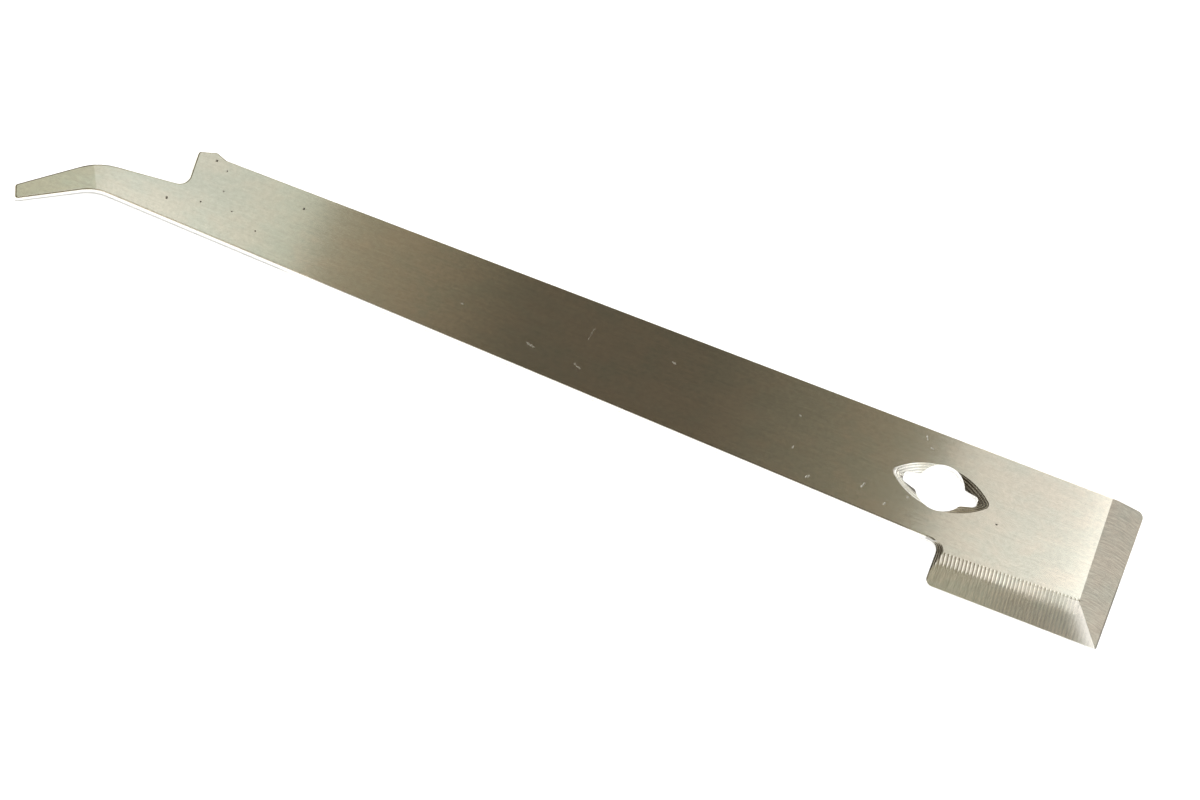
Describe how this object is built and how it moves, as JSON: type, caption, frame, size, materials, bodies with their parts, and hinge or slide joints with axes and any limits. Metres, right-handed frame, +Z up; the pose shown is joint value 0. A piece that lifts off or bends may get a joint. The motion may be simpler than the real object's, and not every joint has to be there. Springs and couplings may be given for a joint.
{
  "type": "hive tool",
  "caption": "Flat one-piece stainless steel J-hook hive tool with a bevelled scraper blade, a nail-puller hole and a lifting hook.",
  "frame": {"origin": "middle of the tool's footprint, on the flat underside", "axes": "+X along the bar to the blade, +Y to the straight back edge with the lug's nib, +Z up out of the bevelled face"},
  "size_m": [0.267, 0.0368, 0.0024],
  "materials": {
    "stainless_steel": "lengthwise brushed faces, ground bevels, lightly worn"
  },
  "bodies": {
    "root": {"tool_body": "stainless_steel"}
  },
  "joints": []
}
